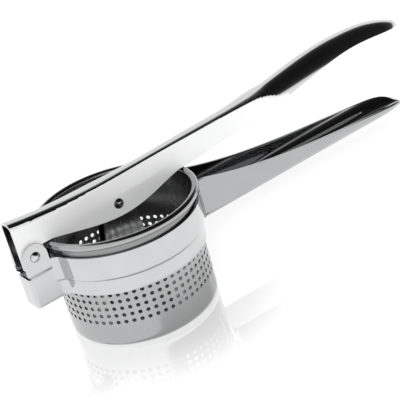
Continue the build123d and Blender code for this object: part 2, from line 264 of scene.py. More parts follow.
class DiscSizes(PropertyGroup):
    """Sizes of the plunger's disc."""

    sheet: length("Sheet", "Thickness of the disc", 1.2)
    lip_round: length("Lip round", "Rounding of the lip's edge", 0.5)


class SteelLooks(PropertyGroup):
    """Colours and finish of the steel."""

    polished: colour("Polished steel", "Colour of the polished sheet", (0.66, 0.663, 0.668, 1.0))
    # Partly a satin finish, partly painted sheen: the upright sides are paler than the polished back of the
    # same sheet
    painted_side_sheen: colour("Pale steel", "Colour of the upper handle's satin sides", (0.88, 0.882, 0.885, 1.0))
    brushed: colour("Brushed steel", "Colour of the cup and the lower handle", (0.43, 0.433, 0.438, 1.0))
    strap: colour("Strap steel", "Colour of the collar", (0.6, 0.604, 0.61, 1.0))
    satin: colour("Satin steel", "Colour of the satin pieces", (0.66, 0.665, 0.67, 1.0))
    # Painted shade: the darker inside colour stands in for the shade in the cup, in the neck under its curl
    # and in the upper handle's channel
    inside: colour("Inside steel", "Colour of the duller sheet inside the cup", (0.3, 0.301, 0.305, 1.0))
    # Painted reflection: a dark colour on the rims of the rivet heads stands in for the dark reflection round
    # their domes
    painted_rim: colour("Formed edge", "Colour of the dark formed edge of a rivet head", (0.1, 0.1, 0.105, 1.0))
    mirror: share("Mirror", "Roughness of the polished sheet", 0.05)
    lever_haze: share("Lever haze", "Roughness of the upper handle's sides", 0.6)
    metal: share("Metal", "How metallic the bare sheet looks", 1.0)
    # Less metal lets the paler painted sheen of the upright sides show
    side_metal: share("Side metal", "How metallic the upper handle's satin sides look", 0.5)
    haze: share("Haze", "Roughness of the satin pieces", 0.26)


class StudioSettings(PropertyGroup):
    """Camera, floor and light of the studio."""

    camera_place: spot("Camera place", "Where the camera stands", (-0.26006, -0.5617, 0.34637))
    azimuth: share("Azimuth", "Camera's turn about the upright, in degrees", -28.8517)
    elevation: share("Elevation", "Camera's angle above the floor, in degrees", 25.5542)
    roll: share("Roll", "Camera's turn about its own line of sight, in degrees", 15.6717)
    lens: share("Lens", "Focal length in millimetres", 118.194)
    floor_size: metres("Floor size", "Side of the floor", 4.0)
    floor_gloss: share("Floor gloss", "How much the floor mirrors what stands on it", 0.42)
    lamp_power: share("Lamp power", "Strength of the soft lamp", 4.2)
    lamp_spread: share("Lamp spread", "How wide the soft lamp looks from the tool, in degrees", 21.0)
    backdrop_azimuth: share("Backdrop azimuth", "Direction of the dark backdrop, in degrees", -30.0)
    backdrop_elevation: share("Backdrop elevation", "Height of the backdrop's middle, in degrees", 60.0)
    backdrop_distance: length("Backdrop distance", "Distance of the backdrop's middle from the cup", 1200.0)
    backdrop_radius: length("Backdrop radius", "Radius of the round backdrop", 1800.0)
    surround_light: share("Surround light", "Light of the white surround on the pieces", 0.2)
    gloss_start: length("Gloss start", "Distance from the cup's middle where the gloss starts to fade", 40.0)
    gloss_end: length("Gloss end", "Distance from the cup's middle where the gloss has faded out", 105.0)


def clamp(part):
    """A number kept between 0 and 1."""
    return min(max(part, 0.0), 1.0)


def ease(value, start, end):
    """Smooth step from 0 at the start to 1 at the end."""
    part = clamp((value - start) / (end - start))
    return part * part * (3.0 - 2.0 * part)


def even(start, end, steps):
    """Numbers from start to end in even steps, both ends included."""
    return [start + (end - start) * step / steps for step in range(steps + 1)]


def closing_in(start, reach, steps):
    """Places past the start as far as the reach, closer and closer together."""
    return [start + reach * math.sin(turn) for turn in even(0.0, QUARTER, steps)[1:]]


def arc(centre, radius, start, end, steps):
    """Points of a flat arc from one angle to another, both ends included."""
    return [
        (centre[0] + radius * math.cos(turn), centre[1] + radius * math.sin(turn))
        for turn in even(start, end, steps)
    ]


def smooth_height(points, start_slope, end_slope):
    """A function for the height along x of a smooth curve through the points, with given end slopes."""
    places = [point[0] for point in points]
    heights = [point[1] for point in points]
    count = len(points)
    system = np.eye(count)
    wanted = np.array([start_slope] + [0.0] * (count - 2) + [end_slope])
    for i in range(1, count - 1):
        before = places[i] - places[i - 1]
        after = places[i + 1] - places[i]
        system[i, i - 1:i + 2] = (after, 2 * (before + after), before)
        rise_before = (heights[i] - heights[i - 1]) / before
        rise_after = (heights[i + 1] - heights[i]) / after
        wanted[i] = 3 * (rise_before * after + rise_after * before)
    slopes = np.linalg.solve(system, wanted)

    def height(x):
        i = min(max(int(np.searchsorted(places, x)) - 1, 0), count - 2)
        span = places[i + 1] - places[i]
        t = (x - places[i]) / span
        start = heights[i] * (1 + 2 * t) * (1 - t) ** 2 + span * slopes[i] * t * (1 - t) ** 2
        end = heights[i + 1] * t * t * (3 - 2 * t) - span * slopes[i + 1] * t * t * (1 - t)
        return float(start + end)

    return height


def select_only(piece):
    """Make one object the only selected and the active one."""
    bpy.ops.object.select_all(action="DESELECT")
    piece.select_set(True)
    bpy.context.view_layer.objects.active = piece


def name_piece(name):
    """Name the object that was just added and its mesh."""
    piece = bpy.context.active_object
    piece.name = name
    piece.data.name = name
    return piece


@contextmanager
def editing(piece):
    """The whole of a piece, selected in edit mode."""
    select_only(piece)
    bpy.ops.object.mode_set(mode="EDIT")
    bpy.ops.mesh.select_all(action="SELECT")
    yield
    bpy.ops.object.mode_set(mode="OBJECT")


def circle(name, sides, radius, fill="NOTHING"):
    """A circle of edges about the origin, or a round face."""
    bpy.ops.object.select_all(action="DESELECT")
    bpy.ops.mesh.primitive_circle_add(vertices=sides, radius=radius, fill_type=fill, location=ORIGIN)
    return name_piece(name)


def chain(name, points):
    """A line of edges through the points, bent from a circle that is cut open."""
    piece = circle(name, len(points), 1.0)
    last = len(points) - 1
    for vertex, point in zip(piece.data.vertices, points):
        vertex.co = point
        vertex.select = vertex.index in (0, last)
    for edge in piece.data.edges:
        edge.select = set(edge.vertices) == {0, last}
    bpy.ops.object.mode_set(mode="EDIT")
    bpy.ops.mesh.select_mode(type="EDGE")
    bpy.ops.mesh.delete(type="EDGE")
    bpy.ops.mesh.select_mode(type="VERT")
    bpy.ops.object.mode_set(mode="OBJECT")
    return piece


def weld(piece):
    """Merge doubled vertices and turn the faces one way."""
    with editing(piece):
        bpy.ops.mesh.remove_doubles(threshold=WELD)
        bpy.ops.mesh.normals_make_consistent(inside=False)


def spin(piece, centre, axis, steps, copies=False):
    """Turn a line or a face once round an axis, as a skin or as separate copies, and weld it."""
    with editing(piece):
        bpy.ops.mesh.spin(steps=steps, dupli=copies, angle=FULL_TURN, center=centre, axis=axis)
    weld(piece)
    return piece


def loft(name, sections):
    """A sheet drawn through sections of equally many points, bent from a grid."""
    bpy.ops.object.select_all(action="DESELECT")
    along = len(sections) - 1
    across = len(sections[0]) - 1
    bpy.ops.mesh.primitive_grid_add(x_subdivisions=along, y_subdivisions=across, size=2.0, location=ORIGIN)
    piece = name_piece(name)
    for vertex in piece.data.vertices:
        i = round((vertex.co.x + 1) / 2 * along)
        j = round((vertex.co.y + 1) / 2 * across)
        vertex.co = sections[i][j]
    return piece


def join(first, *others):
    """Join several objects into the first one."""
    select_only(first)
    for other in others:
        other.select_set(True)
    bpy.ops.object.join()
    return first


def face_away(piece, middle):
    """Turn a sheet's faces so that, taken together, they point away from a place."""
    piece.data.update()
    lean = sum(face.area * face.normal.dot(face.center - Vector(middle)) for face in piece.data.polygons)
    if lean < 0:
        with editing(piece):
            bpy.ops.mesh.flip_normals()


def apply_modifier(piece, kind, **settings):
    """Add one modifier with its settings and apply it."""
    select_only(piece)
    modifier = piece.modifiers.new(kind.title(), kind)
    for key, value in settings.items():
        setattr(modifier, key, value)
    bpy.ops.object.modifier_apply(modifier=modifier.name)


def thicken(piece, sheet, offset=-1.0):
    """Give a sheet its thickness, inwards from its faces unless the offset is 1."""
    apply_modifier(piece, "SOLIDIFY", thickness=sheet, offset=offset, use_even_offset=False)


def round_edges(piece, width):
    """Round the cut edges of a piece."""
    apply_modifier(
        piece,
        "BEVEL",
        width=width,
        segments=2,
        limit_method="ANGLE",
        angle_limit=CUT_ANGLE,
        use_clamp_overlap=True,
    )


def clear_slivers(piece):
    """Take out the faces without area that rounding leaves."""
    with editing(piece):
        bpy.ops.mesh.dissolve_degenerate(threshold=SLIVER)


def smooth(piece):
    """Shade a piece smooth, with creases where its faces meet at a clear angle."""
    select_only(piece)
    bpy.ops.object.shade_smooth_by_angle(angle=CREASE_ANGLE)


def settle(piece, material, body, slot, *nodes):
    """Give a finished piece its material and its place in the frame."""
    piece.data.materials.clear()
    piece.data.materials.append(material)
    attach(piece, body)
    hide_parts(*nodes)


def half_section(half_width, corner, depth, lean):
    """Points from the middle of a channel's back, over its round corner and down its side to its edge."""
    side_weight = 0.35
    crown_steps = 4
    tilt = math.atan(lean)
    flat = half_width - corner * (1 - math.sin(tilt))
    crown = flat * lean / 2
    turn = math.acos(min(max(math.cos(tilt) - (depth - crown) / corner, 0.0), math.cos(tilt)))
    bend = corner * (turn - tilt)
    side = max(depth - crown - corner * math.cos(tilt), 0.0)
    points = [(flat * part, crown * part * part) for part in even(0.0, 1.0, crown_steps)]
    for run in even(0.0, bend + side_weight * side, SECTION_STEPS)[1:]:
        if run <= bend + WELD * side_weight:
            angle = tilt + run / corner
            y = flat + corner * (math.sin(angle) - math.sin(tilt))
            points.append((y, crown + corner * (math.cos(tilt) - math.cos(angle))))
        else:
            points.append((half_width, depth - side + (run - bend) / side_weight))
    return points


def mirrored(points):
    """A whole section from its half: first the side at negative y, then the middle, then the other side."""
    return [(-y, drop) for y, drop in reversed(points[1:])] + points


# Materials

# Scale of the smudges, the noise that counts as clean and as smudged, and how much darker clean steel is
SMUDGE_SCALE = 55.0
SMUDGE_LOW = 0.3
SMUDGE_HIGH = 0.7
SMUDGE_SHADE = 0.95

# Strength and depth of the hairlines, scale and depth of the ripple
HAIRLINE = 0.04
HAIRLINE_DEPTH = 0.02 * MM
RIPPLE_SCALE = 38.0
RIPPLE_DEPTH = 1.0 * MM

# How fine the hairlines are along each axis
DRAWN_UP = (900, 900, 20)
DRAWN_ROUND = (60, 60, 1500)
DRAWN_ALONG = (12, 900, 900)
PRESSED = (900, 900, 30)
FORMED = (600, 600, 600)
TURNED = (900, 60, 900)

# Each finish: its settings for colour, roughness and metal, the least and the most that smudges add to the
# roughness, its ripple and its hairlines
FINISHES = {
    "cup_steel": ("brushed", "mirror", "metal", 0.06, 0.13, 0.06, DRAWN_UP),
    # Painted shade: darker inside colour for the cup's inside and neck
    "cup_inner_steel": ("inside", "haze", "metal", -0.08, 0.04, 0.06, DRAWN_UP),
    "collar_steel": ("strap", "mirror", "metal", 0.0, 0.04, 0.06, DRAWN_ROUND),
    "handle_steel": ("brushed", "mirror", "metal", 0.0, 0.03, 0.04, DRAWN_ALONG),
    "lever_steel": ("polished", "mirror", "metal", 0.03, 0.08, 0.04, DRAWN_ALONG),
    # Painted sheen: paler upright sides of the upper handle
    "lever_side_steel": ("painted_side_sheen", "lever_haze", "side_metal", -0.04, 0.04, 0.02, DRAWN_ALONG),
    # Painted shade: darker inside colour of the upper handle's channel
    "handle_inner_steel": ("inside", "haze", "metal", -0.08, 0.04, 0.04, DRAWN_ALONG),
    "rivet_steel": ("polished", "mirror", "metal", 0.03, 0.1, 0.0, FORMED),
    # Painted reflection: dark rims of the rivet heads
    "rivet_rim_steel": ("painted_rim", "haze", "metal", 0.0, 0.1, 0.0, FORMED),
    "plunger_steel": ("satin", "haze", "metal", -0.16, -0.06, 0.05, PRESSED),
    "bearing_steel": ("satin", "haze", "metal", 0.0, 0.15, 0.0, TURNED),
}


def set_inputs(tree, node, inputs):
    """Give a node's inputs their constants, or a link where the value is another node's output."""
    for key, value in inputs.items():
        if isinstance(value, bpy.types.NodeSocket):
            tree.links.new(value, node.inputs[key])
        else:
            node.inputs[key].default_value = value


def add_node(tree, kind, output, inputs, **settings):
    """The named output of a new shader node with its settings and inputs."""
    node = tree.nodes.new("ShaderNode" + kind)
    for key, value in settings.items():
        setattr(node, key, value)
    set_inputs(tree, node, inputs)
    return node.outputs[output]


def add_place(tree):
    """The place on the object's own axes."""
    return add_node(tree, "TexCoord", "Object", {})


def add_noise(tree, place, scale, detail):
    """Noise over the places."""
    return add_node(tree, "TexNoise", "Fac", {"Vector": place, "Scale": scale, "Detail": detail})


def add_ramp(tree, value, stops):
    """The colour of a ramp through the stops, from left to right."""
    shown = add_node(tree, "ValToRGB", "Color", {"Fac": value})
    elements = shown.node.color_ramp.elements
    while len(elements) < len(stops):
        elements.new(1.0)
    for element, (place, tint) in zip(elements, stops):
        element.position = place
        element.color = tint
    return shown


def finish(name):
    """Steel with smudges in its gloss, hairlines along the way it was drawn and a slight ripple."""
    looks = bpy.context.scene.ricer_steel
    colour_key, gloss_key, metal_key, low, high, ripple, hairlines = FINISHES[name]
    tint = tuple(getattr(looks, colour_key))
    rough = getattr(looks, gloss_key)
    material = bpy.data.materials.new(name)
    material.use_nodes = True
    tree = material.node_tree
    place = add_place(tree)

    smudge = add_noise(tree, place, SMUDGE_SCALE, detail=4.0)
    span = {"From Min": SMUDGE_LOW, "From Max": SMUDGE_HIGH, "To Min": rough + low, "To Max": rough + high}
    gloss = add_node(tree, "MapRange", "Result", {"Value": smudge, **span})
    dark = (*(level * SMUDGE_SHADE for level in tint[:3]), 1.0)
    shade = add_ramp(tree, smudge, ((SMUDGE_LOW, dark), (SMUDGE_HIGH, tint)))

    drawn = add_node(tree, "Mapping", "Vector", {"Vector": place, "Scale": hairlines})
    brushing = add_noise(tree, drawn, 1.0, detail=3.0)
    lines = {"Strength": HAIRLINE, "Distance": HAIRLINE_DEPTH, "Height": brushing}
    scratches = add_node(tree, "Bump", "Normal", lines)
    swell = add_noise(tree, place, RIPPLE_SCALE, detail=1.0)
    waves = {"Strength": ripple, "Distance": RIPPLE_DEPTH, "Height": swell, "Normal": scratches}
    surface = {
        "Metallic": getattr(looks, metal_key),
        "Roughness": gloss,
        "Base Color": shade,
        "Normal": add_node(tree, "Bump", "Normal", waves),
    }
    set_inputs(tree, tree.nodes["Principled BSDF"], surface)
    return material


# Cup

def pierced_band(sizes, radius):
    """The holed part of the wall: one cell with its hole, stacked in rows and copied round."""
    sides = 16
    outer = 2.0
    half_height = sizes.row_pitch / 2
    half_angle = math.pi / sizes.columns
    cell = circle("cup_cell", sides, 1.0)
    with editing(cell):
        bpy.ops.mesh.extrude_edges_move()
        bpy.ops.transform.resize(value=(outer, outer, outer))
    quarter = sides // 4
    for vertex in cell.data.vertices:
        x, y, _ = vertex.co
        if math.hypot(x, y) < (1.0 + outer) / 2:
            across = x * sizes.hole_diameter / 2 / radius
            height = y * sizes.hole_diameter / 2
        else:
            step = round(math.atan2(y, x) / FULL_TURN * sides) % sides
            side, place = divmod(step + quarter // 2, quarter)
            slide = 2 * place / quarter - 1
            u, v = ((1, slide), (-slide, 1), (-1, -slide), (slide, -1))[side % 4]
            across = u * half_angle
            height = v * half_height
        vertex.co = (radius * math.cos(across), radius * math.sin(across), sizes.lowest_row + height)
    apply_modifier(
        cell,
        "ARRAY",
        count=sizes.rows,
        use_relative_offset=False,
        use_constant_offset=True,
        constant_offset_displace=(0.0, 0.0, sizes.row_pitch),
    )
    return spin(cell, ORIGIN, UPRIGHT, sizes.columns, copies=True)


def holed_base(sizes, radius, segments):
    """The flat base with its rings of holes."""
    hole_sides = 10
    base = circle("cup_base", segments, radius)
    with editing(base):
        for ring in range(1, sizes.base_rings + 1):
            bpy.ops.mesh.select_all(action="DESELECT")
            bpy.ops.mesh.primitive_circle_add(
                vertices=hole_sides,
                radius=sizes.hole_diameter / 2,
                fill_type="NOTHING",
                location=(ring * sizes.base_pitch, 0, 0),
            )
            holes = sizes.ring_gain * ring
            bpy.ops.mesh.spin(steps=holes, dupli=True, angle=FULL_TURN, center=ORIGIN, axis=UPRIGHT)
        bpy.ops.mesh.select_all(action="SELECT")
        bpy.ops.mesh.remove_doubles(threshold=WELD)
        bpy.ops.mesh.select_all(action="SELECT")
        bpy.ops.mesh.fill(use_beauty=True)
        bpy.ops.mesh.select_all(action="SELECT")
        bpy.ops.transform.translate(value=(0, 0, sizes.sheet))
    return base


def paint_shade_inside(cup, sizes, top_radius, curl_height):
    """Paint shade on the cup's inside and on the neck between the collar and the curl, with the darker inside
    colour and its rougher finish.
    """
    cup.data.materials.append(finish("cup_inner_steel"))
    collar_lap = 1.0 * MM
    curl_lap = 1.5 * MM
    neck_low = bpy.context.scene.ricer_collar.top - collar_lap
    wall_radius = top_radius + sizes.sheet + WELD
    for face in cup.data.polygons:
        middle = face.center
        reach = math.hypot(middle.x, middle.y)
        inwards = face.normal.x * middle.x + face.normal.y * middle.y < -INWARDS * reach
        in_wall = inwards and middle.z < curl_height - curl_lap
        on_floor = face.normal.z > UPWARDS and middle.z < sizes.base_corner
        in_neck = reach < wall_radius and neck_low < middle.z < curl_height
        # Painted shade: the inner wall, the inner floor and the neck under the curl take the darker colour
        if in_wall or on_floor or in_neck:
            face.material_index = 1


def make_cup():
    """The cup: base, lower wall, pierced band, shoulder and curled rim, drawn on the inside of the sheet."""
    sizes = bpy.context.scene.ricer_cup
    radius = sizes.radius - sizes.sheet
    corner = sizes.base_corner - sizes.sheet
    segments = 4 * sizes.columns
    band_low = sizes.lowest_row - sizes.row_pitch / 2
    band_high = band_low + sizes.rows * sizes.row_pitch
    base = holed_base(sizes, radius - corner, segments)

    bend = arc((radius - corner, sizes.base_corner), corner, -QUARTER, 0.0, steps=8)
    lower = bend + [(radius, z) for z in even(sizes.base_corner, band_low, steps=4)[1:]]
    shoulder = [(radius, z) for z in even(band_high, sizes.shoulder_low, steps=3)]
    for z in even(sizes.shoulder_low, sizes.shoulder_high, steps=8)[1:]:
        rise = ease(z, sizes.shoulder_low, sizes.shoulder_high)
        shoulder.append((radius + sizes.shoulder_step * rise, z))
    curl_height = sizes.height - sizes.curl_radius
    top_radius = radius + sizes.shoulder_step
    shoulder += [(top_radius, z) for z in even(sizes.shoulder_high, curl_height, steps=6)[1:]]
    curl_middle = (top_radius + sizes.curl_radius, curl_height)
    curl_end = math.radians(-125)
    shoulder += arc(curl_middle, sizes.curl_radius, math.pi, curl_end, steps=24)[1:]

    bands = []
    for name, profile in (("cup_lower", lower), ("cup_upper", shoulder)):
        band = chain(name, [(r, 0.0, z) for r, z in profile])
        bands.append(spin(band, ORIGIN, UPRIGHT, segments))
    cup = join(pierced_band(sizes, radius), base, *bands)
    cup.name = "cup"
    cup.data.name = "cup"
    weld(cup)
    face_away(cup, (0, 0, sizes.height))
    thicken(cup, sizes.sheet, offset=1.0)
    smooth(cup)
    settle(cup, finish("cup_steel"), "frame", "cup_steel", "basket")
    paint_shade_inside(cup, sizes, top_radius, curl_height)


# Collar

def ring_radius(sizes, height):
    """Outside radius of the strap at a height, wider above its ledge."""
    rise = ease(height, sizes.ledge_low, sizes.ledge_high)
    return sizes.low_radius + (sizes.high_radius - sizes.low_radius) * rise


def strap_side(sizes, x, radius):
    """Half width of the strap's plan at a place along the tool: cheek, then fold, then ring."""
    fold_y = sizes.tail_half_width + sizes.fold_radius
    fold_x = -math.sqrt((radius + sizes.fold_radius) ** 2 - fold_y**2)
    if x <= fold_x:
        return sizes.tail_half_width
    if x <= fold_x * radius / (radius + sizes.fold_radius):
        return fold_y - math.sqrt(sizes.fold_radius**2 - (x - fold_x) ** 2)
    return math.sqrt(radius**2 - x**2)


def strap_plan(sizes, side):
    """Half of the strap's plan as functions of the ring's radius: tail and cheek, then fold and ring."""
    tail = sizes.tail_end
    corner_x = tail + sizes.corner_radius
    corner_y = sizes.tail_half_width - sizes.corner_radius
    flat = [(tail, y) for y in even(0.0, corner_y, steps=2)]
    bend = arc((corner_x, corner_y), sizes.corner_radius, math.pi, QUARTER, steps=6)[1:-1]
    tail_part = [lambda radius, p=point: (p[0], side * p[1]) for point in flat + bend]

    def beside(radius, x):
        return x, side * strap_side(sizes, x, radius)

    cheek = [lambda radius, x=x: beside(radius, x) for x in ear_columns(sizes, 0.0)]

    def on_ring(radius, part):
        turn = math.acos(sizes.ring_join / radius) * (1 - part)
        return radius * math.cos(turn), side * radius * math.sin(turn)

    fold_places = even(HINGE.x + sizes.ear_radius, sizes.ring_join, steps=24)
    ring_part = [lambda radius, x=x: beside(radius, x) for x in fold_places]
    ring_part += [lambda radius, part=part: on_ring(radius, part) for part in even(0.0, 1.0, steps=90)[1:]]
    return tail_part + cheek[:-1], ring_part


def strap_sheet(sizes, name, plan, levels):
    """The part of the strap that follows a plan, from the first level to the last."""
    sections = []
    for place in plan:
        sections.append([(*place(ring_radius(sizes, z)), z) for z in levels])
    return loft(name, sections)


def ear_columns(sizes, step):
    """Places of an ear's columns along the tool, narrower at its foot where the tail's corner is round."""
    columns = []
    for t in even(-1.0, 1.0, steps=28):
        reach = sizes.ear_radius - (sizes.corner_radius * (1 - step) if t < 0 else 0.0)
        columns.append(HINGE.x + reach * math.sin(QUARTER * t))
    return columns


def ear_sheet(sizes, side, name):
    """One ear, stepped out from its cheek along the crease and rounded over the hinge."""
    crease = even(sizes.crease_low, sizes.crease_high, steps=8)
    steps = [ease(z, sizes.crease_low, sizes.crease_high) for z in crease]
    sections = []
    for column, x in enumerate(ear_columns(sizes, 1.0)):
        top = HINGE.z + math.sqrt(max(sizes.ear_radius**2 - (x - HINGE.x) ** 2, 0.0))
        foot = strap_side(sizes, ear_columns(sizes, 0.0)[column], sizes.high_radius)
        outer = sizes.tail_half_width + sizes.ear_joggle
        section = []
        for z, step in zip(crease, steps):
            y = foot + (outer - foot) * step
            section.append((ear_columns(sizes, step)[column], side * y, z))
        section += [(x, side * outer, z) for z in even(sizes.crease_high, top, steps=10)[1:]]
        sections.append(section)
    return loft(name, sections)


def make_collar():
    """The collar: a strap round the cup with a stepped ledge, a closed tail and two ears."""
    sizes = bpy.context.scene.ricer_collar
    near_tail, near_ring = strap_plan(sizes, -1)
    far_tail, far_ring = strap_plan(sizes, 1)
    ring = near_ring + list(reversed(far_ring))[1:]
    whole = near_tail + ring + list(reversed(far_tail))
    low_levels = even(sizes.bottom, sizes.ledge_low, steps=5)
    low_levels += even(sizes.ledge_low, sizes.ledge_high, steps=10)[1:]
    low_levels += even(sizes.ledge_high, sizes.crease_low, steps=5)[1:]
    strap = strap_sheet(sizes, "collar_strap", whole, low_levels)
    band = strap_sheet(sizes, "collar_band", ring, even(sizes.crease_low, sizes.top, steps=4))
    ears = [ear_sheet(sizes, -1, "ear_near"), ear_sheet(sizes, 1, "ear_far")]
    join(strap, band, *ears)
    weld(strap)
    face_away(strap, (0, 0, sizes.bottom))
    thicken(strap, sizes.sheet)
    round_edges(strap, sizes.edge_round)
    smooth(strap)
    settle(strap, finish("collar_steel"), "frame", "collar_steel", "collar")


# Upper handle

def heel_end(sizes):
    """Where the back ends over the hinge, with room for the slant of the sheet's cut end."""
    return PRESS_BOX[0].x - sizes.sheet * sizes.heel_slope


def press_edge(sizes):
    """A function for the height of the channel's free edge along the tool."""
    foot = HINGE.z - sizes.lobe_radius
    heel = heel_end(sizes)
    lobe_side = HINGE.x + sizes.lobe_radius
    belly = smooth_height(
        [
            (-sizes.rim_inside, sizes.rim_pass),
            (sizes.belly_x, sizes.belly_edge),
            (sizes.rim_inside, sizes.rim_pass),
        ],
        -sizes.belly_slope,
        sizes.belly_slope,
    )
    grip = smooth_height(
        [
            (sizes.rim_outside, sizes.rim_pass),
            (sizes.neck_x, sizes.neck_edge),
            (sizes.grip_back[0], sizes.grip_edge),
            (PRESS_BOX[1].x, sizes.tip_edge),
        ],
        sizes.over_rim_slope,
        sizes.tip_slope,
    )

    def height(x):
        if x < heel + sizes.heel_bevel:
            return foot + heel + sizes.heel_bevel - x
        if x < HINGE.x:
            return foot
        if x <= lobe_side:
            return HINGE.z - math.sqrt(max(sizes.lobe_radius**2 - (x - HINGE.x) ** 2, 0.0))
        if x < -sizes.rim_inside:
            return sizes.rim_pass
        if x < sizes.rim_inside:
            return belly(x)
        if x < sizes.rim_outside:
            return sizes.rim_pass
        return grip(x)

    return height


def press_back(sizes):
    """A function for the half width, corner radius and height of the channel's back along the tool."""
    stations = (
        sizes.heel_back,
        sizes.rear_back,
        sizes.cup_back,
        sizes.waist_back,
        sizes.neck_back,
        sizes.shoulder_back,
        sizes.open_back,
        sizes.round_back,
        sizes.grip_back,
    )
    width = smooth_height([(place, half_width) for place, half_width, _ in stations], 0.0, 0.0)
    rise = smooth_height([(place, top) for place, _, top in stations], sizes.heel_slope, 0.0)
    grip_x, grip_half_width, grip_top = sizes.grip_back
    tip = PRESS_BOX[1].x

    def back(x):
        nose = clamp((x - grip_x) / (tip - grip_x))
        half_width = width(min(x, grip_x))
        if x < sizes.spread_start:
            half_width = min(half_width, sizes.half_width)
        sharp = ease(x, sizes.sharp_start, sizes.sharp_end)
        corner = sizes.corner + (sizes.sharp_corner - sizes.corner) * sharp
        corner += (grip_half_width - corner) * ease(x, sizes.round_start, sizes.round_end)
        top = rise(min(x, grip_x)) - (grip_top - sizes.tip_top) * nose**sizes.tip_droop
        half_width = max(half_width * math.sqrt(1 - nose**sizes.tip_fullness), sizes.tip_half_width)
        return half_width, min(corner, half_width - sizes.grip_flat), top

    return back


def flange_spread(sizes, x, half_width, corner, drop):
    """How far the flange stands out below the narrow back, so that it keeps its width beside the bracket."""
    spread = max(sizes.half_width - half_width, 0.0)
    spread *= 1 - ease(x, sizes.spread_start, sizes.spread_end)
    return spread * clamp((drop - corner) / sizes.spread_depth)


def press_places(sizes):
    """Where the channel's sections stand, closer round the hinge and towards the tip."""
    slit = 0.03 * MM
    heel = heel_end(sizes)
    lobe_side = HINGE.x + sizes.lobe_radius
    tip = PRESS_BOX[1].x
    grip_x = sizes.grip_back[0]
    places = even(heel, heel + sizes.heel_bevel, steps=3)
    places += even(heel + sizes.heel_bevel, HINGE.x, steps=4)[1:]
    places += closing_in(HINGE.x, sizes.lobe_radius, steps=14)
    places += even(lobe_side + slit, -sizes.rim_inside, steps=5)
    places += even(-sizes.rim_inside, sizes.rim_inside, steps=36)[1:]
    places += even(sizes.rim_inside, sizes.rim_outside, steps=4)[1:]
    places += even(sizes.rim_outside, grip_x, steps=56)[1:]
    return places + closing_in(grip_x, tip - sizes.tip_round - grip_x, steps=28)


def paint_shade_and_sheen(lever, sizes, edge):
    """Paint shade on the upper handle's inside with the darker inside colour and its rougher finish, and a
    painted sheen on its upright outer sides with a paler, less metallic satin finish.
    """
    lever.data.materials.append(finish("handle_inner_steel"))
    lever.data.materials.append(finish("lever_side_steel"))
    upright_neck = 0.8
    upright_gain = 0.19
    for face in lever.data.polygons:
        middle = face.center
        inner_side = face.normal.y * middle.y < -INWARDS * abs(middle.y)
        inner_back = face.normal.z < -INWARDS and middle.z > edge(middle.x) + sizes.sheet
        upright = upright_neck + upright_gain * ease(middle.x, sizes.round_start, sizes.round_end)
        outer_side = face.normal.y * middle.y > upright * abs(middle.y) and middle.x < sizes.round_end
        # Painted shade inside the channel, painted sheen on the upright outer sides
        if inner_side or inner_back:
            face.material_index = 1
        elif outer_side:
            face.material_index = 2


def make_press_handle():
    """The upper handle: sections of the channel drawn along the tool, closed over the tip."""
    sizes = bpy.context.scene.ricer_press
    edge = press_edge(sizes)
    back = press_back(sizes)
    tip = PRESS_BOX[1].x
    sections = []
    for x in press_places(sizes):
        half_width, corner, top = back(x)
        half = half_section(half_width, corner, top - edge(x), sizes.back_lean)
        half = [(y + flange_spread(sizes, x, half_width, corner, drop), drop) for y, drop in half]
        sections.append([(x, y, top - drop) for y, drop in mirrored(half)])

    end_height = 0.04
    end_width = 0.55
    half_width, corner, top = back(tip - sizes.tip_round)
    low = edge(tip)
    for turn in even(0.0, QUARTER, steps=6)[1:]:
        x = tip - sizes.tip_round * (1 - math.sin(turn))
        crown = low + (top - low) * max(math.cos(turn), end_height)
        width = half_width * (end_width + (1 - end_width) * math.cos(turn))
        round_over = min(corner, width - sizes.grip_flat)
        section = mirrored(half_section(width, round_over, crown - low, sizes.back_lean))
        sections.append([(x, y, crown - drop) for y, drop in section])

    lever = loft("press_lever", sections)
    face_away(lever, ORIGIN)
    thicken(lever, sizes.sheet)
    round_edges(lever, sizes.edge_round)
    clear_slivers(lever)
    smooth(lever)
    settle(lever, finish("lever_steel"), "press", "handle_steel", "press_handle")
    paint_shade_and_sheen(lever, sizes, edge)


# Lower handle

def lower_edge(sizes):
    """A function for the height of the trough's free edge along the tool."""
    slope = smooth_height(
        [
            (sizes.root_x, sizes.wall_top),
            (sizes.grip_x, sizes.grip_edge),
            (sizes.nose_x, sizes.nose_edge),
            (LOWER_BOX[1].x, sizes.tip_edge),
        ],
        sizes.root_slope,
        sizes.tip_slope,
    )
    return lambda x: sizes.wall_top if x < sizes.root_x else slope(x)


def lower_floor(sizes, x):
    """Half width, corner radius and height of the trough's floor at a place along the tool."""
    tip = LOWER_BOX[1].x
    rounding = ease(x, sizes.root_x, sizes.grip_x)
    nose = clamp((x - sizes.grip_x) / (tip - sizes.grip_x))
    bottom = sizes.root_bottom + (sizes.grip_bottom - sizes.root_bottom) * rounding
    corner = sizes.root_corner + (sizes.grip_corner - sizes.root_corner) * rounding
    half_width = max(sizes.half_width * math.sqrt(1 - nose**sizes.tip_fullness), sizes.tip_half_width)
    return half_width, min(corner, half_width - sizes.tip_flat), bottom


def lower_section(sizes, x, edge):
    """Points across the trough at a place along the tool, as (y, z)."""
    half_width, corner, bottom = lower_floor(sizes, x)
    section = mirrored(half_section(half_width, corner, edge - bottom, 0.0))
    return [(y, bottom + rise) for y, rise in section]


